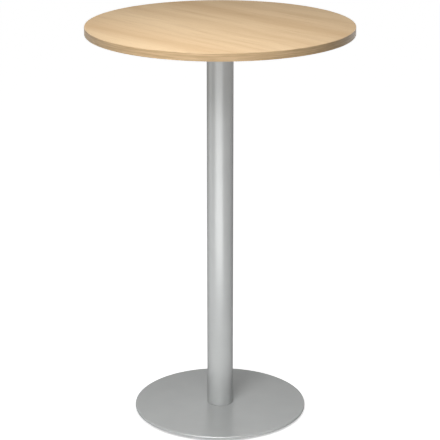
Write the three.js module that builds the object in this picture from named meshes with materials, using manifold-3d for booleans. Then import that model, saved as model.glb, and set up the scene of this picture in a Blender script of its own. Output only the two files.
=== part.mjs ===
// A round standing table: a wood-decor top on one steel column with a flat round foot.
// Millimetres, +Z up. The origin is on the floor, under the axis of the column.

import * as THREE from "three";
import { mergeVertices } from "three/addons/utils/BufferGeometryUtils.js";
import Module from "manifold-3d";

// Driving dimensions

const TABLE_HEIGHT = 1145;

const TOP_DIAMETER = 750;
const TOP_THICKNESS = 22;
const BAND_THICKNESS = 2;
const BAND_EDGE_RADIUS = 1.5;
const GLUE_LINE = 0.15;

const COLUMN_DIAMETER = 75;
const COLUMN_WALL = 2;
const COLUMN_END_CHAMFER = 0.5;

const END_DISC_THICKNESS = 10;
const END_DISC_CHAMFER = 1;
const END_DISC_GAP = 0.1;

const BASE_DIAMETER = 500;
const BASE_THICKNESS = 8;
const BASE_RIM_RADIUS = 3;
const BASE_LOWER_CHAMFER = 1;

const HEAD_THICKNESS = 6;
const HEAD_PLATE_SIDE = 110;
const HEAD_PLATE_CORNER = 12;
const ARMS = 4;
const ARM_REACH = 245;
const ARM_TIP_RADIUS = 17;
const ARM_TAPER = THREE.MathUtils.degToRad(2.5);
const ARM_WELD_GAP = 0.1;
const BOARD_SCREW_RADII = [110, 222];

// M8 countersunk socket screws join both ends of the column
const BOLT_DIAMETER = 8;
const BOLT_LENGTH = 20;
const BOLT_HEAD_DIAMETER = 16;
const BOLT_HEAD_RIM = 0.4;
const BOLT_HEAD_SUNK = 0.3;
const BOLT_SOCKET_FLATS = 5;
const BOLT_SOCKET_DEPTH = 3;
const BOLT_TIP_CHAMFER = 0.8;
const BOLTS = 4;
const BOLT_CIRCLE_RADIUS = 22;
const BOLT_CLEARANCE = 0.5;
const THREAD_CLEARANCE = 0.1;

// 5 x 20 pan head chipboard screws
const SCREW_DIAMETER = 5;
const SCREW_LENGTH = 20;
const SCREW_HEAD_DIAMETER = 10;
const SCREW_HEAD_HEIGHT = 3.2;
const SCREW_HEAD_CROWN_DIAMETER = 6;
const SCREW_HEAD_WALL = 1;
const SCREW_POINT = 4;
const SCREW_CLEARANCE = 0.5;
const SCREW_PILOT_SPARE = 1.5;

// Levelling feet: a screw with a flat head that turns in a plastic pad
const LEVELLERS = 4;
const LEVELLER_CIRCLE_RADIUS = 200;
const PAD_DIAMETER = 32;
const PAD_HEIGHT = 5.8;
const PAD_FLOOR = 2.4;
const PAD_LIP = 0.7;
const PAD_EDGE_RADIUS = 1;
const PAD_KEY_HOLE_DIAMETER = 7;
const PAD_GAP_UNDER_BASE = 0.2;
const STUD_DIAMETER = 8;
const STUD_HEAD_DIAMETER = 15;
const STUD_HEAD_THICKNESS = 2.4;
const STUD_IN_BASE = 6;
const STUD_SOCKET_FLATS = 4;
const STUD_SOCKET_DEPTH = 3;
const STUD_PAD_CLEARANCE = 0.15;
const STUD_HOLE_SPARE = 0.4;

// Facets round each circle
const DISC_SEGMENTS = 120;
const COLUMN_SEGMENTS = 60;
const SMALL_SEGMENTS = 20;
const ROUNDING_STEPS = 2;
const FLAT_ARC_STEPS = 6;

// Levels up the table

const BASE_BOTTOM = PAD_HEIGHT + PAD_GAP_UNDER_BASE;
const BASE_TOP = BASE_BOTTOM + BASE_THICKNESS;
const TOP_BOTTOM = TABLE_HEIGHT - TOP_THICKNESS;
const HEAD_BOTTOM = TOP_BOTTOM - HEAD_THICKNESS;
const COLUMN_LENGTH = HEAD_BOTTOM - BASE_TOP;

// Materials

const woodDecor = new THREE.MeshStandardMaterial({ color: 0xdfbe93, roughness: 0.45 });
const edgePlastic = new THREE.MeshStandardMaterial({ color: 0xd2b083, roughness: 0.4 });
const silverPaint = new THREE.MeshStandardMaterial({ color: 0xa9abab, roughness: 0.4, metalness: 0.5 });
const zincSteel = new THREE.MeshStandardMaterial({ color: 0xb4b8ba, roughness: 0.35, metalness: 1 });
const blackOxide = new THREE.MeshStandardMaterial({ color: 0x2a2a2c, roughness: 0.5, metalness: 0.8 });
const glidePlastic = new THREE.MeshStandardMaterial({ color: 0x262626, roughness: 0.6 });

// Solid operations

const wasm = await Module();
wasm.setup();

function toSolid(geometry) {
  const bare = geometry.clone();
  bare.deleteAttribute("normal");
  bare.deleteAttribute("uv");
  const merged = mergeVertices(bare);
  return new wasm.Manifold(
    new wasm.Mesh({
      numProp: 3,
      vertProperties: merged.attributes.position.array,
      triVerts: new Uint32Array(merged.index.array),
    }),
  );
}

function toGeometry(solid) {
  const mesh = solid.getMesh();
  const geometry = new THREE.BufferGeometry();
  geometry.setAttribute("position", new THREE.BufferAttribute(mesh.vertProperties, mesh.numProp));
  geometry.setIndex(new THREE.BufferAttribute(mesh.triVerts, 1));
  geometry.computeVertexNormals();
  return geometry;
}

function cut(geometry, cutters) {
  const whole = toSolid(geometry);
  return toGeometry(cutters.reduce((rest, cutter) => rest.subtract(toSolid(cutter)), whole));
}

// Shape helpers

// A body of revolution about Z. The profile holds [radius, height] pairs, and runs outwards along
// the underside, up the outside and back inwards, so that the faces point out.
function turned(profile, segments) {
  const points = profile.map(([radius, height]) => new THREE.Vector2(radius, height));
  return new THREE.LatheGeometry(points, segments).rotateX(Math.PI / 2);
}

// The points of a quarter round, from one angle to another about its centre.
function quarterRound(centreRadius, centreHeight, radius, fromDegrees, toDegrees) {
  return Array.from({ length: ROUNDING_STEPS + 1 }, (_, step) => {
    const share = step / ROUNDING_STEPS;
    const angle = THREE.MathUtils.degToRad(THREE.MathUtils.lerp(fromDegrees, toDegrees, share));
    return [centreRadius + radius * Math.cos(angle), centreHeight + radius * Math.sin(angle)];
  });
}

// A straight round bar from one height to another.
function bar(radius, bottom, top, segments = SMALL_SEGMENTS) {
  return turned([[0, bottom], [radius, bottom], [radius, top], [0, top]], segments);
}

// A hexagonal prism of the given width across flats.
function hexagon(flats, bottom, top) {
  const corners = 6;
  return bar(flats / 2 / Math.cos(Math.PI / corners), bottom, top, corners);
}

// Evenly spaced points on a circle, the first of them half a step round from +X.
function pointsOnCircle(count, radius) {
  return Array.from({ length: count }, (_, index) => {
    const angle = ((index + 0.5) / count) * 2 * Math.PI;
    return new THREE.Vector2(radius * Math.cos(angle), radius * Math.sin(angle));
  });
}

function at(geometry, point) {
  return geometry.clone().translate(point.x, point.y, 0);
}

function piece(name, geometry, material) {
  const mesh = new THREE.Mesh(geometry, material);
  mesh.name = name;
  return mesh;
}

const boltPoints = pointsOnCircle(BOLTS, BOLT_CIRCLE_RADIUS);
const levellerPoints = pointsOnCircle(LEVELLERS, LEVELLER_CIRCLE_RADIUS);
const armAngles = Array.from({ length: ARMS }, (_, arm) => (arm / ARMS) * 2 * Math.PI);
const screwPoints = armAngles.flatMap((angle) => {
  const along = new THREE.Vector2(Math.cos(angle), Math.sin(angle));
  return BOARD_SCREW_RADII.map((radius) => along.clone().multiplyScalar(radius));
});

// Table top: a round board with blind pilot holes underneath, and a band glued round its edge

function tabletopBoard() {
  const radius = TOP_DIAMETER / 2 - BAND_THICKNESS - GLUE_LINE;
  const pilotDepth = SCREW_LENGTH - HEAD_THICKNESS + SCREW_PILOT_SPARE;
  const pilot = bar(SCREW_DIAMETER / 2 + THREAD_CLEARANCE, -1, pilotDepth);
  const blank = bar(radius, 0, TOP_THICKNESS, DISC_SEGMENTS);
  return cut(blank, screwPoints.map((point) => at(pilot, point)));
}

function tabletopEdgeBand() {
  const outer = TOP_DIAMETER / 2;
  const inner = outer - BAND_THICKNESS;
  const roundCentre = outer - BAND_EDGE_RADIUS;
  const profile = [
    [inner, 0],
    ...quarterRound(roundCentre, BAND_EDGE_RADIUS, BAND_EDGE_RADIUS, -90, 0),
    ...quarterRound(roundCentre, TOP_THICKNESS - BAND_EDGE_RADIUS, BAND_EDGE_RADIUS, 0, 90),
    [inner, TOP_THICKNESS],
    [inner, 0],
  ];
  return turned(profile, DISC_SEGMENTS);
}

// Head: a square plate on the column and four tapered arms welded to its sides, all in one plane

function flat(outline) {
  return new THREE.ExtrudeGeometry(outline, {
    depth: HEAD_THICKNESS,
    bevelEnabled: false,
    curveSegments: FLAT_ARC_STEPS,
  });
}

function headPlate() {
  const half = HEAD_PLATE_SIDE / 2;
  const inset = half - HEAD_PLATE_CORNER;
  const outline = new THREE.Shape();
  outline.absarc(inset, inset, HEAD_PLATE_CORNER, 0, Math.PI / 2);
  outline.absarc(-inset, inset, HEAD_PLATE_CORNER, Math.PI / 2, Math.PI);
  outline.absarc(-inset, -inset, HEAD_PLATE_CORNER, Math.PI, 1.5 * Math.PI);
  outline.absarc(inset, -inset, HEAD_PLATE_CORNER, 1.5 * Math.PI, 2 * Math.PI);
  outline.closePath();
  const countersink = countersunkHole(HEAD_THICKNESS).rotateX(Math.PI).translate(0, 0, HEAD_THICKNESS);
  return cut(flat(outline), boltPoints.map((point) => at(countersink, point)));
}

// An arm along +X. Its sides are tangent to its round tip and widen towards the plate.
function supportArm() {
  const root = HEAD_PLATE_SIDE / 2 + ARM_WELD_GAP;
  const tipCentre = ARM_REACH - ARM_TIP_RADIUS;
  const rootHalfWidth = ARM_TIP_RADIUS / Math.cos(ARM_TAPER) + (tipCentre - root) * Math.tan(ARM_TAPER);
  const tipHalfAngle = Math.PI / 2 - ARM_TAPER;
  const outline = new THREE.Shape();
  outline.absarc(tipCentre, 0, ARM_TIP_RADIUS, -tipHalfAngle, tipHalfAngle);
  outline.lineTo(root, rootHalfWidth);
  outline.lineTo(root, -rootHalfWidth);
  outline.closePath();
  const screwHole = bar(SCREW_DIAMETER / 2 + SCREW_CLEARANCE, -1, HEAD_THICKNESS + 1);
  return cut(flat(outline), BOARD_SCREW_RADII.map((x) => at(screwHole, new THREE.Vector2(x, 0))));
}

// Pan head chipboard screw, its head resting at height 0 and its point upwards

function boardScrew() {
  const head = SCREW_HEAD_DIAMETER / 2;
  const shank = SCREW_DIAMETER / 2;
  return turned(
    [
      [0, -SCREW_HEAD_HEIGHT],
      [SCREW_HEAD_CROWN_DIAMETER / 2, -SCREW_HEAD_HEIGHT],
      [head, -SCREW_HEAD_WALL],
      [head, 0],
      [shank, 0],
      [shank, SCREW_LENGTH - SCREW_POINT],
      [0, SCREW_LENGTH],
    ],
    SMALL_SEGMENTS,
  );
}

// Countersunk M8 socket screw, its flat head at height 0 and its thread upwards

function countersunkBolt() {
  const head = BOLT_HEAD_DIAMETER / 2;
  const shank = BOLT_DIAMETER / 2;
  const blank = turned(
    [
      [0, 0],
      [head, 0],
      [head, BOLT_HEAD_RIM],
      [shank, BOLT_HEAD_RIM + head - shank],
      [shank, BOLT_LENGTH - BOLT_TIP_CHAMFER],
      [shank - BOLT_TIP_CHAMFER, BOLT_LENGTH],
      [0, BOLT_LENGTH],
    ],
    SMALL_SEGMENTS,
  );
  return cut(blank, [hexagon(BOLT_SOCKET_FLATS, -1, BOLT_SOCKET_DEPTH)]);
}

// The cutter for a hole that takes that screw, through a plate whose face is at height 0.
// The screw's cone bears on the hole's cone, with its head a little below the face.
function countersunkHole(plateThickness) {
  const hole = BOLT_DIAMETER / 2 + BOLT_CLEARANCE;
  const coneTop = BOLT_HEAD_SUNK + BOLT_HEAD_RIM + (BOLT_HEAD_DIAMETER - BOLT_DIAMETER) / 2;
  const reach = coneTop + BOLT_DIAMETER / 2;
  return turned(
    [
      [0, -1],
      [reach, -1],
      [reach, 0],
      [hole, reach - hole],
      [hole, plateThickness + 1],
      [0, plateThickness + 1],
    ],
    SMALL_SEGMENTS,
  );
}

// Column: an open tube with a tapped disc welded into each end, flush with the tube

function columnTube() {
  const outer = COLUMN_DIAMETER / 2;
  const inner = outer - COLUMN_WALL;
  return turned(
    [
      [inner, 0],
      [outer - COLUMN_END_CHAMFER, 0],
      [outer, COLUMN_END_CHAMFER],
      [outer, COLUMN_LENGTH - COLUMN_END_CHAMFER],
      [outer - COLUMN_END_CHAMFER, COLUMN_LENGTH],
      [inner, COLUMN_LENGTH],
      [inner, 0],
    ],
    COLUMN_SEGMENTS,
  );
}

// The disc's outer face is at height 0, and its inner edge is chamfered for the weld.
function columnEndDisc() {
  const radius = COLUMN_DIAMETER / 2 - COLUMN_WALL - END_DISC_GAP;
  const blank = turned(
    [
      [0, 0],
      [radius, 0],
      [radius, END_DISC_THICKNESS - END_DISC_CHAMFER],
      [radius - END_DISC_CHAMFER, END_DISC_THICKNESS],
      [0, END_DISC_THICKNESS],
    ],
    COLUMN_SEGMENTS,
  );
  const tapped = bar(BOLT_DIAMETER / 2 + THREAD_CLEARANCE, -1, END_DISC_THICKNESS + 1);
  return cut(blank, boltPoints.map((point) => at(tapped, point)));
}

// Base: a plain steel disc. All its holes open downwards, so the upper face stays whole.

function baseDisc() {
  const radius = BASE_DIAMETER / 2;
  const blank = turned(
    [
      [0, 0],
      [radius - BASE_LOWER_CHAMFER, 0],
      [radius, BASE_LOWER_CHAMFER],
      ...quarterRound(radius - BASE_RIM_RADIUS, BASE_THICKNESS - BASE_RIM_RADIUS, BASE_RIM_RADIUS, 0, 90),
      [0, BASE_THICKNESS],
    ],
    DISC_SEGMENTS,
  );
  const countersink = countersunkHole(BASE_THICKNESS);
  const studHole = bar(STUD_DIAMETER / 2 + THREAD_CLEARANCE, -1, STUD_IN_BASE + STUD_HOLE_SPARE);
  return cut(blank, [
    ...boltPoints.map((point) => at(countersink, point)),
    ...levellerPoints.map((point) => at(studHole, point)),
  ]);
}

// Levelling foot: the pad's lip traps the head of the stud, which turns on the pad's floor.
// A key reaches the stud's socket through the hole in the floor.

function levellerPad() {
  const outer = PAD_DIAMETER / 2;
  const keyHole = PAD_KEY_HOLE_DIAMETER / 2;
  const chamber = STUD_HEAD_DIAMETER / 2 + STUD_PAD_CLEARANCE;
  const lipHole = STUD_DIAMETER / 2 + STUD_PAD_CLEARANCE;
  const lipUnder = PAD_HEIGHT - PAD_LIP;
  return turned(
    [
      [keyHole, 0],
      ...quarterRound(outer - PAD_EDGE_RADIUS, PAD_EDGE_RADIUS, PAD_EDGE_RADIUS, -90, 0),
      ...quarterRound(outer - PAD_EDGE_RADIUS, PAD_HEIGHT - PAD_EDGE_RADIUS, PAD_EDGE_RADIUS, 0, 90),
      [lipHole, PAD_HEIGHT],
      [lipHole, lipUnder],
      [chamber, lipUnder],
      [chamber, PAD_FLOOR],
      [keyHole, PAD_FLOOR],
      [keyHole, 0],
    ],
    SMALL_SEGMENTS,
  );
}

function levellerStud() {
  const head = STUD_HEAD_DIAMETER / 2;
  const shank = STUD_DIAMETER / 2;
  const headTop = PAD_FLOOR + STUD_HEAD_THICKNESS;
  const tip = BASE_BOTTOM + STUD_IN_BASE;
  const blank = turned(
    [
      [0, PAD_FLOOR],
      [head, PAD_FLOOR],
      [head, headTop],
      [shank, headTop],
      [shank, tip - BOLT_TIP_CHAMFER],
      [shank - BOLT_TIP_CHAMFER, tip],
      [0, tip],
    ],
    SMALL_SEGMENTS,
  );
  return cut(blank, [hexagon(STUD_SOCKET_FLATS, PAD_FLOOR - 1, PAD_FLOOR + STUD_SOCKET_DEPTH)]);
}

// The assembly, from the floor up

const table = new THREE.Group();

levellerPoints.forEach((point, index) => {
  const leveller = new THREE.Group();
  leveller.position.set(point.x, point.y, 0);
  leveller.add(piece(`leveller_pad_${index + 1}`, levellerPad(), glidePlastic));
  leveller.add(piece(`leveller_stud_${index + 1}`, levellerStud(), zincSteel));
  table.add(leveller);
});

const base = new THREE.Group();
base.position.z = BASE_BOTTOM;
base.add(piece("base_disc", baseDisc(), silverPaint));
boltPoints.forEach((point, index) => {
  const bolt = piece(`base_bolt_${index + 1}`, countersunkBolt(), blackOxide);
  bolt.position.set(point.x, point.y, BOLT_HEAD_SUNK);
  base.add(bolt);
});
table.add(base);

const column = new THREE.Group();
column.position.z = BASE_TOP;
column.add(piece("column_tube", columnTube(), silverPaint));
column.add(piece("column_foot_disc", columnEndDisc(), zincSteel));
const headDisc = piece("column_head_disc", columnEndDisc(), zincSteel);
headDisc.position.z = COLUMN_LENGTH;
headDisc.rotation.x = Math.PI;
column.add(headDisc);
table.add(column);

const head = new THREE.Group();
head.position.z = HEAD_BOTTOM;
head.add(piece("head_plate", headPlate(), silverPaint));
armAngles.forEach((angle, index) => {
  const arm = piece(`support_arm_${index + 1}`, supportArm(), silverPaint);
  arm.rotation.z = angle;
  head.add(arm);
});
boltPoints.forEach((point, index) => {
  const bolt = piece(`head_bolt_${index + 1}`, countersunkBolt(), blackOxide);
  bolt.position.set(point.x, point.y, HEAD_THICKNESS - BOLT_HEAD_SUNK);
  bolt.rotation.x = Math.PI;
  head.add(bolt);
});
screwPoints.forEach((point, index) => {
  const screw = piece(`board_screw_${index + 1}`, boardScrew(), zincSteel);
  screw.position.set(point.x, point.y, 0);
  head.add(screw);
});
table.add(head);

const top = new THREE.Group();
top.position.z = TOP_BOTTOM;
top.add(piece("tabletop_board", tabletopBoard(), woodDecor));
top.add(piece("tabletop_edge_band", tabletopEdgeBand(), edgePlastic));
table.add(top);

export default table;
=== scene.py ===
import math

import bpy
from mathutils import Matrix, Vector


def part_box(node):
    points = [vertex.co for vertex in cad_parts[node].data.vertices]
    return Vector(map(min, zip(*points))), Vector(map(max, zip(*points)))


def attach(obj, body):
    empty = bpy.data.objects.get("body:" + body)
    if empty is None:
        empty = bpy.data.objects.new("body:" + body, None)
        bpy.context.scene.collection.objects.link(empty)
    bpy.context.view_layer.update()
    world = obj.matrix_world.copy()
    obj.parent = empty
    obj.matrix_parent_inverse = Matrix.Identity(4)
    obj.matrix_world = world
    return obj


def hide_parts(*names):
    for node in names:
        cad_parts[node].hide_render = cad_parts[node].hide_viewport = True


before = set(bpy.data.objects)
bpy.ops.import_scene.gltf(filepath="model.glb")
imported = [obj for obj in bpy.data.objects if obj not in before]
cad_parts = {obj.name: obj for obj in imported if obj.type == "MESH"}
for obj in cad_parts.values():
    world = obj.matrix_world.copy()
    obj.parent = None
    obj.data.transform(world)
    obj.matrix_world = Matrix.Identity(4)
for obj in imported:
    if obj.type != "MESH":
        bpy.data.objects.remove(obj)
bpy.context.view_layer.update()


# Levelling pads
# Round glides under the base, injection moulded in black polyamide. Each one is snapped over the
# flat head of its levelling screw, and a hole in its floor lets a key reach that screw.

MM = 0.001
FEET = range(1, 5)
PAD_FACETS = 64
PAD_FLOOR = 2.4 * MM
PAD_LIP = 0.7 * MM
PAD_KEY_HOLE = 3.5 * MM
PAD_CHAMBER = 7.65 * MM
PAD_LIP_HOLE = 4.15 * MM
PAD_ROUNDING = 1 * MM
PAD_GROOVE_DEPTH = 0.4 * MM
PAD_GROOVE_START = 0.5
PAD_GROOVE_END = 0.63
PAD_GROOVE_SLOPE = 0.03
ROUNDING_STEPS = 4
MERGE_WITHIN = 0.001 * MM
SAME_PLACE = 0.01 * MM
PAD_BLACK = "#232324"
PAD_GRAIN = 0.5 * MM

pad_low, pad_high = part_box("leveller_pad_1")
pad_radius = (pad_high.x - pad_low.x) / 2
foot_places = {}
for foot in FEET:
    low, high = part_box(f"leveller_pad_{foot}")
    foot_places[foot] = Vector(((low.x + high.x) / 2, (low.y + high.y) / 2, 0))


def activate(piece):
    """Selects one piece alone, ready for operators."""
    bpy.ops.object.select_all(action="DESELECT")
    piece.select_set(True)
    bpy.context.view_layer.objects.active = piece


def one_vertex(name, point):
    """Starts a piece as a plane that is shrunk to a vertex, and leaves it in edit mode."""
    bpy.ops.object.select_all(action="DESELECT")
    bpy.ops.mesh.primitive_plane_add(size=MM, location=(0, 0, 0))
    piece = bpy.context.object
    piece.name = piece.data.name = name
    bpy.ops.object.mode_set(mode="EDIT")
    bpy.ops.mesh.select_mode(type="VERT")
    bpy.ops.mesh.merge(type="CENTER")
    bpy.ops.transform.translate(value=point)
    return piece


def draw_profile(name, profile):
    """A line of edges in the XZ plane, extruded from one (radius, height) point to the next."""
    radius, height = profile[0]
    piece = one_vertex(name, (radius, 0, height))
    for next_radius, next_height in profile[1:]:
        step = (next_radius - radius, 0, next_height - height)
        bpy.ops.mesh.extrude_region_move(TRANSFORM_OT_translate={"value": step})
        radius, height = next_radius, next_height
    return piece


def close_mesh():
    """Merges doubled vertices and turns the faces outwards, in edit mode."""
    bpy.ops.mesh.select_all(action="SELECT")
    bpy.ops.mesh.remove_doubles(threshold=MERGE_WITHIN)
    bpy.ops.mesh.normals_make_consistent(inside=False)
    bpy.ops.object.mode_set(mode="OBJECT")


def turned(name, profile, steps):
    """A body spun about Z from a profile that closes on itself or ends on the axis."""
    piece = draw_profile(name, profile)
    bpy.ops.mesh.select_all(action="SELECT")
    bpy.ops.mesh.spin(steps=steps, angle=2 * math.pi, center=(0, 0, 0), axis=(0, 0, 1))
    close_mesh()
    return piece


def ring_edge(radius, height):
    """A rule that picks the edges of one circle about Z."""
    def on_ring(point):
        return math.isclose(point.z, height, abs_tol=SAME_PLACE) and math.isclose(
            math.hypot(point.x, point.y), radius, abs_tol=SAME_PLACE)
    return lambda start, end: on_ring(start) and on_ring(end)


def round_edges(piece, rule, width, segments):
    """Bevels the edges whose two ends pass the rule."""
    activate(piece)
    bpy.ops.object.mode_set(mode="EDIT")
    bpy.ops.mesh.select_mode(type="EDGE")
    bpy.ops.mesh.select_all(action="DESELECT")
    bpy.ops.object.mode_set(mode="OBJECT")
    points = piece.data.vertices
    for edge in piece.data.edges:
        start, end = edge.vertices
        edge.select = rule(points[start].co, points[end].co)
    bpy.ops.object.mode_set(mode="EDIT")
    bpy.ops.mesh.bevel(offset=width, segments=segments, affect="EDGES")
    bpy.ops.object.mode_set(mode="OBJECT")


def smooth(piece, degrees=30):
    """Smooth shading that keeps wide faces flat, and edges sharper than the angle crisp."""
    activate(piece)
    bpy.ops.object.shade_smooth_by_angle(angle=math.radians(degrees))
    flattening = piece.modifiers.new("flattening", "WEIGHTED_NORMAL")
    flattening.keep_sharp = True
    bpy.ops.object.modifier_apply(modifier=flattening.name)


def copy_to(piece, name, place, turn=(0, 0, 0)):
    """A turned and moved copy with a mesh of its own, whose vertices hold its new place."""
    activate(piece)
    bpy.ops.object.duplicate(linked=False)
    copy = bpy.context.object
    copy.name = copy.data.name = name
    copy.location = place
    copy.rotation_euler = turn
    bpy.ops.object.transform_apply(location=True, rotation=True, scale=True)
    return copy


def linear(hex_colour):
    """An sRGB hex colour as linear RGBA."""
    channels = [int(hex_colour[at:at + 2], 16) / 255 for at in (1, 3, 5)]
    return [c / 12.92 if c <= 0.04045 else ((c + 0.055) / 1.055) ** 2.4 for c in channels] + [1]


def add_node(tree, kind, inputs=None, **settings):
    """Adds a node. Settings are its properties; inputs are values or other nodes' outputs."""
    node = tree.nodes.new(kind)
    for name, value in settings.items():
        setattr(node, name, value)
    for socket, value in (inputs or {}).items():
        if isinstance(value, bpy.types.NodeSocket):
            tree.links.new(value, node.inputs[socket])
        else:
            node.inputs[socket].default_value = value
    return node


def new_material(name, **sockets):
    """A material whose Principled shader has these plain socket values."""
    material = bpy.data.materials.new(name)
    material.use_nodes = True
    tree = material.node_tree
    shader = tree.nodes["Principled BSDF"]
    for socket, value in sockets.items():
        shader.inputs[socket.replace("_", " ")].default_value = value
    return material, tree, shader


def fit(piece, body, material, node=None):
    """Gives a finished piece its material and its body, and hides the CAD node that it stands for, if any.
    """
    piece.data.materials.clear()
    piece.data.materials.append(material)
    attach(piece, body)
    if node:
        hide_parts(node)


# Moulded polyamide: a dull black with the fine spark-eroded grain of the mould.
black_polyamide, tree, shader = new_material(
    "black polyamide, moulded", Base_Color=linear(PAD_BLACK), IOR=1.53)
coordinates = add_node(tree, "ShaderNodeTexCoord")
grain = add_node(tree, "ShaderNodeTexNoise", {
    "Vector": coordinates.outputs["Object"], "Scale": 1 / PAD_GRAIN, "Detail": 3})
dullness = add_node(tree, "ShaderNodeMapRange", {
    "Value": grain.outputs[0], "To Min": 0.5, "To Max": 0.7})
relief = add_node(tree, "ShaderNodeBump", {
    "Height": grain.outputs[0], "Strength": 0.15, "Distance": 0.05 * MM})
tree.links.new(dullness.outputs[0], shader.inputs["Roughness"])
tree.links.new(relief.outputs[0], shader.inputs["Normal"])

pad = turned("pad model", [
    (PAD_KEY_HOLE, 0),
    (pad_radius * PAD_GROOVE_START, 0),
    (pad_radius * (PAD_GROOVE_START + PAD_GROOVE_SLOPE), PAD_GROOVE_DEPTH),
    (pad_radius * (PAD_GROOVE_END - PAD_GROOVE_SLOPE), PAD_GROOVE_DEPTH),
    (pad_radius * PAD_GROOVE_END, 0),
    (pad_radius, 0),
    (pad_radius, pad_high.z),
    (PAD_LIP_HOLE, pad_high.z),
    (PAD_LIP_HOLE, pad_high.z - PAD_LIP),
    (PAD_CHAMBER, pad_high.z - PAD_LIP),
    (PAD_CHAMBER, PAD_FLOOR),
    (PAD_KEY_HOLE, PAD_FLOOR),
    (PAD_KEY_HOLE, 0),
], PAD_FACETS)
round_edges(pad, ring_edge(pad_radius, 0), PAD_ROUNDING, ROUNDING_STEPS)
round_edges(pad, ring_edge(pad_radius, pad_high.z), PAD_ROUNDING, ROUNDING_STEPS)
smooth(pad)
for foot, place in foot_places.items():
    glide = copy_to(pad, f"moulded_pad_{foot}", place)
    fit(glide, f"pad_{foot}", black_polyamide, f"leveller_pad_{foot}")
bpy.data.objects.remove(pad)


# Levelling screws
# M8 screws of bright zinc-plated steel with a flat head. They stand in blind tapped holes under the
# base, and each carries a hexagon socket for the key in the underside of its head.

FASTENER_FACETS = 48
STUD_HEAD = 7.5 * MM
STUD_HEAD_THICKNESS = 2.4 * MM
STUD_HEAD_CHAMFER = 0.4 * MM
STUD_NECK = 0.6 * MM
STUD_SHANK = 4 * MM
STUD_SOCKET_FLATS = 4 * MM
STUD_SOCKET_DEPTH = 3 * MM
M8_PITCH = 1.25 * MM
M8_DEPTH = 0.61 * M8_PITCH
THREAD_STEPS = 32
THREAD_FLANK = 0.4
THREAD_CREST = 0.15
THREAD_RUN_IN = 1.5
CUT_TOLERANCE = 0.0001 * MM
OVERLAP = 0.1 * MM
CUT_SPARE = 1 * MM
ZINC = "#c3c7c9"
ZINC_CLOUD = "#a9aeb2"
ZINC_SPANGLE = 2 * MM

stud_low, stud_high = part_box("leveller_stud_1")
stud_head_top = stud_low.z + STUD_HEAD_THICKNESS


def thread(name, crest, depth, pitch, low, high, steps):
    """A threaded rod about Z: one turn's profile wound upwards, then cut flat at both ends.

    Its flanks, crest and run-in are shares of the pitch. The run-in makes it whole at the lower cut.
    """
    root = crest - depth
    start = low - THREAD_RUN_IN * pitch
    rod = draw_profile(name, [
        (root, start),
        (crest, start + THREAD_FLANK * pitch),
        (crest, start + (THREAD_FLANK + THREAD_CREST) * pitch),
        (root, start + (2 * THREAD_FLANK + THREAD_CREST) * pitch),
        (root, start + pitch),
    ])
    bpy.ops.object.mode_set(mode="OBJECT")
    winding = rod.modifiers.new("winding", "SCREW")
    winding.axis = "Z"
    winding.angle = 2 * math.pi
    winding.screw_offset = pitch
    winding.iterations = math.ceil((high - start) / pitch) + 1
    winding.steps = winding.render_steps = steps
    activate(rod)
    bpy.ops.object.modifier_apply(modifier=winding.name)
    bpy.ops.object.mode_set(mode="EDIT")
    bpy.ops.mesh.select_all(action="SELECT")
    bpy.ops.mesh.remove_doubles(threshold=MERGE_WITHIN)
    for height, above in ((low, False), (high, True)):
        bpy.ops.mesh.select_all(action="SELECT")
        bpy.ops.mesh.bisect(plane_co=(0, 0, height), plane_no=(0, 0, 1), use_fill=True,
                            clear_inner=not above, clear_outer=above, threshold=CUT_TOLERANCE)
    close_mesh()
    return rod


def combine(piece, tool, operation):
    """Joins a tool body to a piece, or cuts it away, and removes the tool."""
    activate(piece)
    joining = piece.modifiers.new("combine", "BOOLEAN")
    joining.operation = operation
    joining.solver = "EXACT"
    joining.object = tool
    bpy.ops.object.modifier_apply(modifier=joining.name)
    bpy.data.objects.remove(tool)


def hexagon_key(flats, low, high):
    """A hexagonal bar about Z, for cutting a socket."""
    bpy.ops.object.select_all(action="DESELECT")
    bpy.ops.mesh.primitive_cylinder_add(
        vertices=6, radius=flats / 2 / math.cos(math.pi / 6), depth=high - low,
        location=(0, 0, (low + high) / 2))
    return bpy.context.object


# The sockets of a Mix node for colours go by number, because several of them share a name.
SHARE, FIRST, SECOND, MIXED = 0, 6, 7, 2

# Bright zinc plating: a clean pale metal with faint bluish clouding and a slightly uneven gloss.
zinc_plate, tree, shader = new_material("steel, bright zinc plated", Metallic=1.0)
coordinates = add_node(tree, "ShaderNodeTexCoord")
clouds = add_node(tree, "ShaderNodeTexNoise", {
    "Vector": coordinates.outputs["Object"], "Scale": 1 / ZINC_SPANGLE, "Detail": 4})
tone = add_node(tree, "ShaderNodeMix", {
    SHARE: clouds.outputs[0], FIRST: linear(ZINC), SECOND: linear(ZINC_CLOUD)}, data_type="RGBA")
gloss = add_node(tree, "ShaderNodeMapRange", {
    "Value": clouds.outputs[0], "To Min": 0.28, "To Max": 0.42})
tree.links.new(tone.outputs[MIXED], shader.inputs["Base Color"])
tree.links.new(gloss.outputs[0], shader.inputs["Roughness"])

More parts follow.
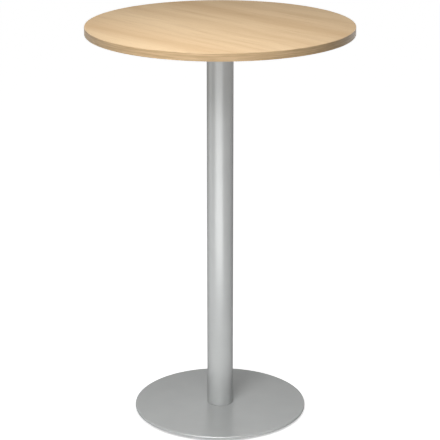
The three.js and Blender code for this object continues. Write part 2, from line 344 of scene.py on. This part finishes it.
stud = turned("stud model", [
    (0, stud_low.z),
    (STUD_HEAD - STUD_HEAD_CHAMFER, stud_low.z),
    (STUD_HEAD, stud_low.z + STUD_HEAD_CHAMFER),
    (STUD_HEAD, stud_head_top),
    (STUD_SHANK - M8_DEPTH, stud_head_top),
    (STUD_SHANK - M8_DEPTH, stud_head_top + STUD_NECK),
    (0, stud_head_top + STUD_NECK),
], FASTENER_FACETS)
stud_thread = thread("stud thread", STUD_SHANK, M8_DEPTH, M8_PITCH,
                     stud_head_top + STUD_NECK - OVERLAP, stud_high.z, THREAD_STEPS)
combine(stud, stud_thread, "UNION")
socket = hexagon_key(STUD_SOCKET_FLATS, stud_low.z - CUT_SPARE, stud_low.z + STUD_SOCKET_DEPTH)
combine(stud, socket, "DIFFERENCE")
smooth(stud)
for foot, place in foot_places.items():
    screw = copy_to(stud, f"levelling_screw_{foot}", place)
    fit(screw, f"stud_{foot}", zinc_plate, f"leveller_stud_{foot}")
bpy.data.objects.remove(stud)


# Base
# A round plate of 8 mm steel, turned with a rounded upper rim and powder coated in silver. All its
# holes open downwards: four countersunk ones for the column's screws and four blind tapped ones.

DISC_FACETS = 256
HOLE_FACETS = 32
BASE_RIM_ROUNDING = 3 * MM
BASE_RIM_STEPS = 6
BASE_LOWER_CHAMFER = 1 * MM
BASE_LOWER_STEPS = 2
BOLTS = range(1, 5)
BOLT_HOLE = 4.5 * MM
SINK_RADIUS = 8.7 * MM
STUD_HOLE = 4.1 * MM
STUD_HOLE_DEPTH = 6.4 * MM
SILVER = "#c2c4c3"
SILVER_DARK = "#babcbc"
COAT_GLINT = "#505050"
COAT_PEEL = 4 * MM
COAT_CLOUD = 60 * MM

base_low, base_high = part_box("base_disc")
base_radius = base_high.x
bolt_places = {}
for bolt in BOLTS:
    low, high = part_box(f"base_bolt_{bolt}")
    bolt_places[bolt] = Vector(((low.x + high.x) / 2, (low.y + high.y) / 2, 0))


def drill(piece, radius, low, high, place):
    """Drills a round hole."""
    bit = turned("drill", [(0, low), (radius, low), (radius, high), (0, high)], HOLE_FACETS)
    combine(piece, copy_to(bit, "drill at its place", place), "DIFFERENCE")
    bpy.data.objects.remove(bit)


# Silver powder coat: aluminium flake in a satin lacquer, sprayed dry and baked. It has the slight
# waviness of orange peel, drawn at 4 mm instead of 1 mm so that it shows, and a faint clouding. Its
# roughness stays over 0.275: what varies about that value comes out of the denoiser speckled.
silver_coat, tree, shader = new_material(
    "steel, silver powder coat", Metallic=0.36, IOR=1.5, Specular_IOR_Level=0.05,
    Specular_Tint=linear(COAT_GLINT))
coordinates = add_node(tree, "ShaderNodeTexCoord")
peel = add_node(tree, "ShaderNodeTexNoise", {
    "Vector": coordinates.outputs["Object"], "Scale": 1 / COAT_PEEL, "Detail": 2})
cloud = add_node(tree, "ShaderNodeTexNoise", {
    "Vector": coordinates.outputs["Object"], "Scale": 1 / COAT_CLOUD, "Detail": 3})
tone = add_node(tree, "ShaderNodeMix", {
    SHARE: cloud.outputs[0], FIRST: linear(SILVER), SECOND: linear(SILVER_DARK)}, data_type="RGBA")
gloss = add_node(tree, "ShaderNodeMapRange", {
    "Value": peel.outputs[0], "To Min": 0.28, "To Max": 0.32})
relief = add_node(tree, "ShaderNodeBump", {
    "Height": peel.outputs[0], "Strength": 0.06, "Distance": 0.1 * MM})
tree.links.new(tone.outputs[MIXED], shader.inputs["Base Color"])
tree.links.new(gloss.outputs[0], shader.inputs["Roughness"])
tree.links.new(relief.outputs[0], shader.inputs["Normal"])

base = turned("turned_base", [
    (0, base_low.z),
    (base_radius, base_low.z),
    (base_radius, base_high.z),
    (0, base_high.z),
], DISC_FACETS)
round_edges(base, ring_edge(base_radius, base_high.z), BASE_RIM_ROUNDING, BASE_RIM_STEPS)
round_edges(base, ring_edge(base_radius, base_low.z), BASE_LOWER_CHAMFER, BASE_LOWER_STEPS)
sink = turned("countersink", [
    (0, base_low.z - CUT_SPARE),
    (SINK_RADIUS, base_low.z - CUT_SPARE),
    (SINK_RADIUS, base_low.z),
    (BOLT_HOLE, base_low.z + SINK_RADIUS - BOLT_HOLE),
    (BOLT_HOLE, base_high.z + CUT_SPARE),
    (0, base_high.z + CUT_SPARE),
], HOLE_FACETS)
for place in bolt_places.values():
    combine(base, copy_to(sink, "countersink at its place", place), "DIFFERENCE")
for place in foot_places.values():
    drill(base, STUD_HOLE, base_low.z - CUT_SPARE, base_low.z + STUD_HOLE_DEPTH, place)
smooth(base)
fit(base, "table", silver_coat, "base_disc")


# Bolts
# Eight countersunk M8 socket screws in black oxide steel. Four go up through the base and four go
# down through the head plate, into the tapped discs in the ends of the column.

BOLT_HEAD = 8 * MM
BOLT_HEAD_RIM = 0.4 * MM
BOLT_SHANK = 4 * MM
BOLT_NECK = 0.6 * MM
NECK_SLACK = 0.1 * MM
BOLT_SOCKET_FLATS = 5 * MM
BOLT_SOCKET_DEPTH = 3 * MM
OXIDE = "#2b2b2e"
OXIDE_BROWN = "#3b3633"
OXIDE_MOTTLE = 3 * MM

bolt_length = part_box("base_bolt_1")[1].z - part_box("base_bolt_1")[0].z

# Black oxide: a thin blue-black skin on the steel, oily and a little brown in places.
black_oxide, tree, shader = new_material("steel, black oxide", Metallic=0.9)
coordinates = add_node(tree, "ShaderNodeTexCoord")
mottle = add_node(tree, "ShaderNodeTexNoise", {
    "Vector": coordinates.outputs["Object"], "Scale": 1 / OXIDE_MOTTLE, "Detail": 4})
tone = add_node(tree, "ShaderNodeMix", {
    SHARE: mottle.outputs[0], FIRST: linear(OXIDE), SECOND: linear(OXIDE_BROWN)}, data_type="RGBA")
gloss = add_node(tree, "ShaderNodeMapRange", {
    "Value": mottle.outputs[0], "To Min": 0.3, "To Max": 0.5})
tree.links.new(tone.outputs[MIXED], shader.inputs["Base Color"])
tree.links.new(gloss.outputs[0], shader.inputs["Roughness"])

cone_end = BOLT_HEAD_RIM + BOLT_HEAD - BOLT_SHANK
bolt = turned("bolt model", [
    (0, 0),
    (BOLT_HEAD, 0),
    (BOLT_HEAD, BOLT_HEAD_RIM),
    (BOLT_SHANK, cone_end),
    (BOLT_SHANK - M8_DEPTH - NECK_SLACK, cone_end + BOLT_NECK),
    (BOLT_SHANK - M8_DEPTH - NECK_SLACK, cone_end + 2 * BOLT_NECK),
    (0, cone_end + 2 * BOLT_NECK),
], FASTENER_FACETS)
bolt_thread = thread("bolt thread", BOLT_SHANK, M8_DEPTH, M8_PITCH,
                     cone_end + 1.5 * BOLT_NECK, bolt_length, THREAD_STEPS)
combine(bolt, bolt_thread, "UNION")
combine(bolt, hexagon_key(BOLT_SOCKET_FLATS, -CUT_SPARE, BOLT_SOCKET_DEPTH), "DIFFERENCE")
smooth(bolt)
for number in BOLTS:
    low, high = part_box(f"base_bolt_{number}")
    place = ((low.x + high.x) / 2, (low.y + high.y) / 2, low.z)
    screw = copy_to(bolt, f"base_socket_screw_{number}", place)
    fit(screw, "table", black_oxide, f"base_bolt_{number}")
for number in BOLTS:
    low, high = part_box(f"head_bolt_{number}")
    place = ((low.x + high.x) / 2, (low.y + high.y) / 2, high.z)
    screw = copy_to(bolt, f"head_socket_screw_{number}", place, (math.pi, 0, 0))
    fit(screw, "table", black_oxide, f"head_bolt_{number}")
bpy.data.objects.remove(bolt)


# Column
# A length of round steel tube with a 2 mm wall, coated like the base. A turned steel disc, drilled and
# tapped for the bolts, is welded flush into each end; the CAD solids of these stay.

COLUMN_FACETS = 192
COLUMN_WALL = 2 * MM
COLUMN_END_CHAMFER = 1 * MM
BARE_STEEL = "#9d9a96"
BARE_STEEL_DARK = "#84817d"
TOOL_MARK = 0.4 * MM

column_low, column_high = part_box("column_tube")
column_radius = column_high.x
column_bore = column_radius - COLUMN_WALL
column = turned("coated_column", [
    (column_bore, column_low.z),
    (column_radius - COLUMN_END_CHAMFER, column_low.z),
    (column_radius, column_low.z + COLUMN_END_CHAMFER),
    (column_radius, column_high.z - COLUMN_END_CHAMFER),
    (column_radius - COLUMN_END_CHAMFER, column_high.z),
    (column_bore, column_high.z),
    (column_bore, column_low.z),
], COLUMN_FACETS)
smooth(column)
fit(column, "table", silver_coat, "column_tube")

# Turned steel: bare grey metal with the fine circles that the lathe tool leaves.
turned_steel, tree, shader = new_material("steel, turned bare", Metallic=1.0)
coordinates = add_node(tree, "ShaderNodeTexCoord")
flat_place = add_node(tree, "ShaderNodeVectorMath", {
    0: coordinates.outputs["Object"], 1: (1, 1, 0)}, operation="MULTIPLY")
distance = add_node(tree, "ShaderNodeVectorMath", {0: flat_place.outputs[0]}, operation="LENGTH")
circles = add_node(tree, "ShaderNodeTexNoise", {
    "W": distance.outputs["Value"], "Scale": 1 / TOOL_MARK, "Detail": 2}, noise_dimensions="1D")
tone = add_node(tree, "ShaderNodeMix", {
    SHARE: circles.outputs[0], FIRST: linear(BARE_STEEL), SECOND: linear(BARE_STEEL_DARK)},
    data_type="RGBA")
gloss = add_node(tree, "ShaderNodeMapRange", {
    "Value": circles.outputs[0], "To Min": 0.28, "To Max": 0.45})
relief = add_node(tree, "ShaderNodeBump", {
    "Height": circles.outputs[0], "Strength": 0.2, "Distance": 0.05 * MM})
tree.links.new(tone.outputs[MIXED], shader.inputs["Base Color"])
tree.links.new(gloss.outputs[0], shader.inputs["Roughness"])
tree.links.new(relief.outputs[0], shader.inputs["Normal"])
for name in ("column_foot_disc", "column_head_disc"):
    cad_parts[name].material_slots[0].material = turned_steel


# Head plate and arms
# A square of 6 mm steel plate on the column, with four tapered flat arms butt welded to its sides to
# carry the board. They are coated after welding, so the beads under the joints are silver too.

PLATE_CORNER = 12 * MM
PLATE_CORNER_STEPS = 10
SHEARED_EDGE = 0.6 * MM
SHEARED_EDGE_STEPS = 2
ARMS = range(1, 5)
FIRST_ARM_SCREWS = (1, 2)
ARM_TIP_WIDTH = 32.55 * MM
ARM_TIP_ROUNDING = 16.2 * MM
ARM_TIP_STEPS = 12
SCREW_HOLE = 3 * MM
BEAD_FACETS = 24
BEAD_WIDTH = 7 * MM
BEAD_INSET = 1 * MM
BEAD_RIPPLE = 2.4 * MM
BEAD_RIPPLE_DEPTH = 0.25 * MM
BEAD_FLATTENING = 0.45
BEAD_END_FULLNESS = 12
BEAD_END_DROP = 0.96
BEAD_SMOOTHING = 50

plate_low, plate_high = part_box("head_plate")
arm_low, arm_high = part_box("support_arm_1")


def block(name, low, high):
    """A block between two corners, whose vertices hold its place."""
    bpy.ops.object.select_all(action="DESELECT")
    bpy.ops.mesh.primitive_cube_add(size=1, location=(low + high) / 2)
    piece = bpy.context.object
    piece.name = piece.data.name = name
    piece.scale = high - low
    bpy.ops.object.transform_apply(location=True, rotation=True, scale=True)
    return piece


def upright(start, end):
    """Picks the edges that stand on end."""
    return abs(start.z - end.z) > 1 * MM


def lying(start, end):
    """Picks the edges that lie flat."""
    return abs(start.z - end.z) < SAME_PLACE


def at_tip(point):
    """Picks what is on the end face of the first arm."""
    return point.x > arm_high.x - 1 * MM


plate = block("sheared_head_plate", plate_low, plate_high)
round_edges(plate, upright, PLATE_CORNER, PLATE_CORNER_STEPS)
round_edges(plate, lying, SHEARED_EDGE, SHEARED_EDGE_STEPS)
for number in BOLTS:
    low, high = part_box(f"head_bolt_{number}")
    place = Vector(((low.x + high.x) / 2, (low.y + high.y) / 2, plate_high.z + base_low.z))
    combine(plate, copy_to(sink, "countersink at its place", place, (math.pi, 0, 0)), "DIFFERENCE")
bpy.data.objects.remove(sink)
smooth(plate)
fit(plate, "table", silver_coat, "head_plate")

arm = block("arm model", arm_low, arm_high)
bpy.ops.object.mode_set(mode="EDIT")
bpy.ops.mesh.select_mode(type="VERT")
bpy.ops.mesh.select_all(action="DESELECT")
bpy.ops.object.mode_set(mode="OBJECT")
for vertex in arm.data.vertices:
    vertex.select = at_tip(vertex.co)
bpy.ops.object.mode_set(mode="EDIT")
bpy.ops.transform.resize(value=(1, ARM_TIP_WIDTH / (arm_high.y - arm_low.y), 1))
bpy.ops.object.mode_set(mode="OBJECT")
round_edges(arm, lambda start, end: upright(start, end) and at_tip(start),
            ARM_TIP_ROUNDING, ARM_TIP_STEPS)
round_edges(arm, lying, SHEARED_EDGE, SHEARED_EDGE_STEPS)
for number in FIRST_ARM_SCREWS:
    low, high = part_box(f"board_screw_{number}")
    place = ((low.x + high.x) / 2, 0, 0)
    drill(arm, SCREW_HOLE, arm_low.z - CUT_SPARE, arm_high.z + CUT_SPARE, place)
smooth(arm)

bead_half = arm_high.y - BEAD_INSET
bead_profile = [(0, -bead_half)]
ripples = int(2 * bead_half / BEAD_RIPPLE)
for step in range(4 * ripples + 1):
    along = -1 + step / (2 * ripples)
    ripple = BEAD_RIPPLE_DEPTH * abs(math.sin(math.pi * step / 4))
    ends = math.sqrt(1 - BEAD_END_DROP * along ** BEAD_END_FULLNESS)
    bead_profile.append(((BEAD_WIDTH / 2 - BEAD_RIPPLE_DEPTH + ripple) * ends, bead_half * along))
bead_profile.append((0, bead_half))
bead = turned("bead model", bead_profile, BEAD_FACETS)
bpy.ops.object.mode_set(mode="EDIT")
bpy.ops.mesh.select_all(action="SELECT")
bpy.ops.transform.rotate(value=math.pi / 2, orient_axis="X", center_override=(0, 0, 0))
bpy.ops.transform.resize(value=(1, 1, BEAD_FLATTENING), center_override=(0, 0, 0))
bpy.ops.mesh.bisect(plane_co=(0, 0, 0), plane_no=(0, 0, 1), use_fill=True,
                    clear_outer=True, threshold=CUT_TOLERANCE)
bpy.ops.mesh.select_all(action="SELECT")
bpy.ops.transform.translate(value=((plate_high.x + arm_low.x) / 2, 0, plate_low.z))
close_mesh()
smooth(bead, BEAD_SMOOTHING)
for number in ARMS:
    turn = (0, 0, (number - 1) * 2 * math.pi / len(ARMS))
    fit(copy_to(arm, f"tapered_arm_{number}", (0, 0, 0), turn),
        "table", silver_coat, f"support_arm_{number}")
    fit(copy_to(bead, f"weld_bead_{number}", (0, 0, 0), turn),
        "table", silver_coat)
bpy.data.objects.remove(arm)
bpy.data.objects.remove(bead)


# Board screws
# Pan-head chipboard screws of zinc-plated steel with a cross recess and a coarse thread. Two go up
# through each arm into the underside of the board.

BOARD_SCREWS = range(1, 9)
SCREW_FACETS = 32
SCREW_THREAD_STEPS = 20
SCREW_CROWN_STEPS = 6
SCREW_HEAD = 5 * MM
SCREW_HEAD_FLAT = 2.6 * MM
SCREW_HEAD_HEIGHT = 3.2 * MM
SCREW_HEAD_WALL = 0.9 * MM
SCREW_CREST = 2.5 * MM
SCREW_THREAD_DEPTH = 0.8 * MM
SCREW_PITCH = 2 * MM
SCREW_POINT = 8 * MM
SCREW_NECK = 0.8 * MM
SCREW_THREAD_START = 0.5 * MM
SCREW_TURN = 0.7
RECESS_SPAN = 4.6 * MM
RECESS_WIDTH = 1 * MM
RECESS_DEPTH = 1.8 * MM

screw_low, screw_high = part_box("board_screw_1")
screw_length = screw_high.z - screw_low.z - SCREW_HEAD_HEIGHT
crown = [(0, -SCREW_HEAD_HEIGHT)]
for step in range(SCREW_CROWN_STEPS + 1):
    angle = step / SCREW_CROWN_STEPS * math.pi / 2
    crown.append((SCREW_HEAD_FLAT + (SCREW_HEAD - SCREW_HEAD_FLAT) * math.sin(angle),
                  -SCREW_HEAD_WALL - (SCREW_HEAD_HEIGHT - SCREW_HEAD_WALL) * math.cos(angle)))
core = SCREW_CREST - SCREW_THREAD_DEPTH
screw = turned("screw model", crown + [
    (SCREW_HEAD, 0), (core, 0), (core, SCREW_NECK), (0, SCREW_NECK)], SCREW_FACETS)
screw_thread = thread("screw thread", SCREW_CREST, SCREW_THREAD_DEPTH, SCREW_PITCH,
                      SCREW_THREAD_START, screw_length + CUT_SPARE, SCREW_THREAD_STEPS)
sharpened = turned("screw envelope", [
    (0, SCREW_THREAD_START - OVERLAP),
    (SCREW_HEAD, SCREW_THREAD_START - OVERLAP),
    (SCREW_HEAD, screw_length - SCREW_POINT),
    (0, screw_length),
], SCREW_FACETS)
combine(screw_thread, sharpened, "INTERSECT")
combine(screw, screw_thread, "UNION")
recess_floor = RECESS_DEPTH - SCREW_HEAD_HEIGHT
for span, width in ((RECESS_SPAN, RECESS_WIDTH), (RECESS_WIDTH, RECESS_SPAN)):
    slot_low = Vector((-span / 2, -width / 2, -SCREW_HEAD_HEIGHT - CUT_SPARE))
    slot_high = Vector((span / 2, width / 2, recess_floor))
    combine(screw, block("recess", slot_low, slot_high), "DIFFERENCE")
smooth(screw)
screw_places = {}
for number in BOARD_SCREWS:
    low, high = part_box(f"board_screw_{number}")
    screw_places[number] = Vector(((low.x + high.x) / 2, (low.y + high.y) / 2, arm_low.z))
    driven = copy_to(screw, f"pan_screw_{number}", screw_places[number], (0, 0, SCREW_TURN * number))
    fit(driven, "table", zinc_plate, f"board_screw_{number}")
bpy.data.objects.remove(screw)


# Tabletop board
# A round of 22 mm chipboard, faced on both sides with melamine paper printed with a light oak. The
# screws from the arms sit in pilot holes in its underside.

PILOT_HOLE = 2.6 * MM
PILOT_SPARE = 1.5 * MM
GRAIN_ANGLE = -47
GRAIN_SWAY = 45 * MM
GRAIN_SWAY_LENGTH = 350 * MM
FLAME = (400 * MM, 40 * MM, 1)
STREAK = (130 * MM, 8 * MM, 1)
PORE = (16 * MM, 1.2 * MM, 1)
OAK_BANDS = {
    -375: 0.15, -330: 0.1, -264: 0.85, -200: 0.4, -95: 0, 0: 0.6, 55: 0.05,
    155: 1, 208: 0.3, 265: 0.45, 330: 0.1, 375: 0.1}
OAK_LIGHT = "#ebcea6"
OAK_BAND = "#dcbb91"
OAK_FLAME = "#d5b389"
OAK_STREAK = "#c9a57b"
OAK_PORE = "#b58e62"

board_low, board_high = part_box("tabletop_board")
board = turned("faced_board", [
    (0, board_low.z),
    (board_high.x, board_low.z),
    (board_high.x, board_high.z),
    (0, board_high.z),
], DISC_FACETS)
for place in screw_places.values():
    pilot_place = (place.x, place.y, 0)
    drill(board, PILOT_HOLE, board_low.z - CUT_SPARE, screw_high.z + PILOT_SPARE, pilot_place)
smooth(board)

# Printed oak under matt melamine: broad bands right across the board, soft flames and thin streaks in
# them, and short pores, all along one direction. The pores are drawn 1.2 mm wide so that they show.
oak_decor, tree, shader = new_material(
    "melamine faced board, light oak print", IOR=1.5, Specular_IOR_Level=0.05)
coordinates = add_node(tree, "ShaderNodeTexCoord")
sway = add_node(tree, "ShaderNodeTexNoise", {
    "Vector": coordinates.outputs["Object"], "Scale": 1 / GRAIN_SWAY_LENGTH, "Detail": 1})
centred_sway = add_node(tree, "ShaderNodeVectorMath", {
    0: sway.outputs["Color"], 1: (0.5, 0.5, 0.5)}, operation="SUBTRACT")
swayed = add_node(tree, "ShaderNodeVectorMath", {
    0: centred_sway.outputs[0], 1: (GRAIN_SWAY, GRAIN_SWAY, 0), 2: coordinates.outputs["Object"]},
    operation="MULTIPLY_ADD")
along_grain = add_node(tree, "ShaderNodeMapping", {
    "Vector": swayed.outputs[0], "Rotation": (0, 0, math.radians(GRAIN_ANGLE))}, vector_type="TEXTURE")
across_grain = add_node(tree, "ShaderNodeSeparateXYZ", {0: along_grain.outputs[0]})
band_places = sorted(OAK_BANDS)
first_band, last_band = band_places[0], band_places[-1]
band_place = add_node(tree, "ShaderNodeMapRange", {
    "Value": across_grain.outputs["Y"], "From Min": first_band * MM, "From Max": last_band * MM})
bands = add_node(tree, "ShaderNodeValToRGB", {0: band_place.outputs[0]})
bands.color_ramp.interpolation = "EASE"
stops = bands.color_ramp.elements
for place in band_places[1:-1]:
    stops.new((place - first_band) / (last_band - first_band))
for stop, place in zip(stops, band_places):
    stop.color = [OAK_BANDS[place]] * 3 + [1]
flame_place = add_node(tree, "ShaderNodeMapping", {
    "Vector": along_grain.outputs[0], "Scale": FLAME}, vector_type="TEXTURE")
flames = add_node(tree, "ShaderNodeTexNoise", {
    "Vector": flame_place.outputs[0], "Scale": 1, "Detail": 3, "Roughness": 0.5})
streak_place = add_node(tree, "ShaderNodeMapping", {
    "Vector": along_grain.outputs[0], "Scale": STREAK}, vector_type="TEXTURE")
streaks = add_node(tree, "ShaderNodeTexNoise", {
    "Vector": streak_place.outputs[0], "Scale": 1, "Detail": 3, "Roughness": 0.6})
pore_place = add_node(tree, "ShaderNodeMapping", {
    "Vector": along_grain.outputs[0], "Scale": PORE}, vector_type="TEXTURE")
pores = add_node(tree, "ShaderNodeTexNoise", {
    "Vector": pore_place.outputs[0], "Scale": 1, "Detail": 1})
flame_share = add_node(tree, "ShaderNodeMapRange", {
    "Value": flames.outputs[0], "From Min": 0.45, "From Max": 0.75, "To Max": 0.7})
streak_share = add_node(tree, "ShaderNodeMapRange", {
    "Value": streaks.outputs[0], "From Min": 0.54, "From Max": 0.8, "To Max": 0.45})
pore_share = add_node(tree, "ShaderNodeMapRange", {
    "Value": pores.outputs[0], "From Min": 0.62, "From Max": 0.8, "To Max": 0.4})
banded = add_node(tree, "ShaderNodeMix", {
    SHARE: bands.outputs[0], FIRST: linear(OAK_LIGHT), SECOND: linear(OAK_BAND)}, data_type="RGBA")
flamed = add_node(tree, "ShaderNodeMix", {
    SHARE: flame_share.outputs[0], FIRST: banded.outputs[MIXED], SECOND: linear(OAK_FLAME)},
    data_type="RGBA")
streaked = add_node(tree, "ShaderNodeMix", {
    SHARE: streak_share.outputs[0], FIRST: flamed.outputs[MIXED], SECOND: linear(OAK_STREAK)},
    data_type="RGBA")
printed = add_node(tree, "ShaderNodeMix", {
    SHARE: pore_share.outputs[0], FIRST: streaked.outputs[MIXED], SECOND: linear(OAK_PORE)},
    data_type="RGBA")
gloss = add_node(tree, "ShaderNodeMapRange", {
    "Value": streaks.outputs[0], "To Min": 0.5, "To Max": 0.65})
relief = add_node(tree, "ShaderNodeBump", {
    "Height": pores.outputs[0], "Strength": 0.05, "Distance": 0.1 * MM})
tree.links.new(printed.outputs[MIXED], shader.inputs["Base Color"])
tree.links.new(gloss.outputs[0], shader.inputs["Roughness"])
tree.links.new(relief.outputs[0], shader.inputs["Normal"])
fit(board, "table", oak_decor, "tabletop_board")


# Edge band
# A 2 mm plastic band in the same decor, glued round the board with its long edges rounded over. Its
# grain runs round the table, and its two ends butt together at the back.

BAND_THICKNESS = 2 * MM
BAND_ROUNDING = 1.5 * MM
BAND_ROUNDING_STEPS = 4
SEAM_WIDTH = 0.25 * MM
SEAM_DEPTH = 0.3 * MM
BAND_LINE = (100 * MM, 4.5 * MM, 1)
BAND_LIGHT = "#ebca9e"
BAND_DARK = "#cfae82"

band_low, band_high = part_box("tabletop_edge_band")
band_radius = band_high.x
band_inside = band_radius - BAND_THICKNESS
band = turned("glued_edge_band", [
    (band_inside, band_low.z),
    (band_radius, band_low.z),
    (band_radius, band_high.z),
    (band_inside, band_high.z),
    (band_inside, band_low.z),
], DISC_FACETS)
round_edges(band, ring_edge(band_radius, band_low.z), BAND_ROUNDING, BAND_ROUNDING_STEPS)
round_edges(band, ring_edge(band_radius, band_high.z), BAND_ROUNDING, BAND_ROUNDING_STEPS)
seam_low = Vector((-SEAM_WIDTH / 2, band_radius - SEAM_DEPTH, band_low.z - CUT_SPARE))
seam_high = Vector((SEAM_WIDTH / 2, band_radius + CUT_SPARE, band_high.z + CUT_SPARE))
combine(band, block("seam", seam_low, seam_high), "DIFFERENCE")
smooth(band)

# Printed plastic: lines along the band a few millimetres apart, with a satin face.
band_decor, tree, shader = new_material(
    "plastic edge band, light oak print", IOR=1.5, Specular_IOR_Level=0.4)
coordinates = add_node(tree, "ShaderNodeTexCoord")
place = add_node(tree, "ShaderNodeSeparateXYZ", {0: coordinates.outputs["Object"]})
forward = add_node(tree, "ShaderNodeMath", {0: place.outputs["Y"], 1: -1}, operation="MULTIPLY")
angle = add_node(tree, "ShaderNodeMath", {
    0: place.outputs["X"], 1: forward.outputs[0]}, operation="ARCTAN2")
along = add_node(tree, "ShaderNodeMath", {
    0: angle.outputs[0], 1: band_radius}, operation="MULTIPLY")
unrolled = add_node(tree, "ShaderNodeCombineXYZ", {"X": along.outputs[0], "Y": place.outputs["Z"]})
line_place = add_node(tree, "ShaderNodeMapping", {
    "Vector": unrolled.outputs[0], "Scale": BAND_LINE}, vector_type="TEXTURE")
lines = add_node(tree, "ShaderNodeTexNoise", {
    "Vector": line_place.outputs[0], "Scale": 1, "Detail": 3, "Roughness": 0.6})
line_share = add_node(tree, "ShaderNodeMapRange", {
    "Value": lines.outputs[0], "From Min": 0.35, "From Max": 0.65})
printed = add_node(tree, "ShaderNodeMix", {
    SHARE: line_share.outputs[0], FIRST: linear(BAND_LIGHT), SECOND: linear(BAND_DARK)}, data_type="RGBA")
gloss = add_node(tree, "ShaderNodeMapRange", {
    "Value": lines.outputs[0], "To Min": 0.4, "To Max": 0.5})
tree.links.new(printed.outputs[MIXED], shader.inputs["Base Color"])
tree.links.new(gloss.outputs[0], shader.inputs["Roughness"])
fit(band, "table", band_decor, "tabletop_edge_band")


# Floor, light and camera
# A plain white floor under soft studio light, seen from the photograph's viewing angle. The white is
# for the camera and for reflections only: the lamps light the table, and a painted contact shadow
# darkens the floor's glow close to it.

CAMERA_PLACE = (-0.0004, -4.524, 2.0395)
CAMERA_PITCH = 17.902
CAMERA_LENS = 135.76
CAMERA_SENSOR = 36
FLOOR_SIZE = 80
AMBIENT = 0.07
FLOOR_GREY = "#aaaaaa"
FLOOR_GLOW = 0.97
FLOOR_PAINTED_SHADE_GLOW = 0.4
FLOOR_SHADE = 15 * MM
LAMPS = {
    "overhead light": {
        "place": (-0.1, -0.42, 2.07), "aim": (0, -0.07, 1.1), "size": (0.85, 0.75), "watts": 10.5},
    "front light": {
        "place": (-0.42, -1.5, 1.7), "aim": (0, -0.15, 0.1), "size": (1.2, 0.5), "watts": 4, "spread": 56},
    "floor light": {
        "place": (-0.33, -1.9, 0.02), "aim": (-0.33, -1.9, 1), "size": (2.15, 1.6), "watts": 24},
    "low light": {
        "place": (-0.33, -1.92, 0.42), "aim": (0, 0, 0.45), "size": (2.45, 0.26), "watts": 3.3},
    "left floor light": {
        "place": (-1.6, 0.1, 0.02), "aim": (-1.6, 0.1, 1), "size": (1.6, 1.8), "watts": 2.6},
    "left light": {
        "place": (-2.0, 0.1, 0.4), "aim": (0, 0, 0.6), "size": (0.8, 0.6), "watts": 0.8},
    "back light": {
        "place": (1.5, 1.9, 1.0), "aim": (0, 0, 0.65), "size": (1.6, 1.2), "watts": 3.5},
}


def shown_rays(tree):
    """1 for rays that show the background: seen directly, mirrored or through glass."""
    path = add_node(tree, "ShaderNodeLightPath")
    seen = add_node(tree, "ShaderNodeMath", {
        0: path.outputs["Is Camera Ray"], 1: path.outputs["Is Glossy Ray"]}, operation="MAXIMUM")
    shown = add_node(tree, "ShaderNodeMath", {
        0: seen.outputs[0], 1: path.outputs["Is Transmission Ray"]}, operation="MAXIMUM")
    return shown.outputs[0]


world = bpy.data.worlds.new("white studio")
bpy.context.scene.world = world
world.use_nodes = True
tree = world.node_tree
tree.nodes.clear()
ambient = add_node(tree, "ShaderNodeBackground", {"Color": (1, 1, 1, 1), "Strength": AMBIENT})
backdrop = add_node(tree, "ShaderNodeBackground", {"Color": (1, 1, 1, 1), "Strength": 1})
sky = add_node(tree, "ShaderNodeMixShader", {
    0: shown_rays(tree), 1: ambient.outputs[0], 2: backdrop.outputs[0]})
add_node(tree, "ShaderNodeOutputWorld", {"Surface": sky.outputs[0]})

bpy.ops.object.select_all(action="DESELECT")
bpy.ops.mesh.primitive_plane_add(size=FLOOR_SIZE, location=(0, 0, 0))
floor = bpy.context.object
floor.name = "floor"
white_floor, tree, shader = new_material(
    "white floor", Base_Color=linear(FLOOR_GREY), Roughness=0.9, Specular_IOR_Level=0.0)
# Painted shade: ambient occlusion dims the floor's glow under and around the base, as a painted contact
# shadow.
open_floor = add_node(tree, "ShaderNodeAmbientOcclusion", {"Distance": FLOOR_SHADE}, samples=16)
white = add_node(tree, "ShaderNodeMapRange", {
    "Value": open_floor.outputs["AO"], "To Min": FLOOR_PAINTED_SHADE_GLOW, "To Max": FLOOR_GLOW})
glow = add_node(tree, "ShaderNodeMath", {0: shown_rays(tree), 1: white.outputs[0]}, operation="MULTIPLY")
shader.inputs["Emission Color"].default_value = (1, 1, 1, 1)
tree.links.new(glow.outputs[0], shader.inputs["Emission Strength"])
floor.data.materials.append(white_floor)

for name, lamp in LAMPS.items():
    bpy.ops.object.light_add(type="AREA", location=lamp["place"])
    light = bpy.context.object
    light.name = name
    light.data.shape = "RECTANGLE"
    light.data.size, light.data.size_y = lamp["size"]
    light.data.energy = lamp["watts"]
    light.data.spread = math.radians(lamp.get("spread", 180))
    light.rotation_euler = (Vector(lamp["aim"]) - light.location).to_track_quat("-Z", "Y").to_euler()
    light.visible_camera = False

bpy.ops.object.camera_add(location=CAMERA_PLACE, rotation=(math.radians(90 - CAMERA_PITCH), 0, 0))
camera = bpy.context.object
camera.data.sensor_width = CAMERA_SENSOR
camera.data.lens = CAMERA_LENS
bpy.context.scene.camera = camera
bpy.context.scene.view_settings.view_transform = "Standard"
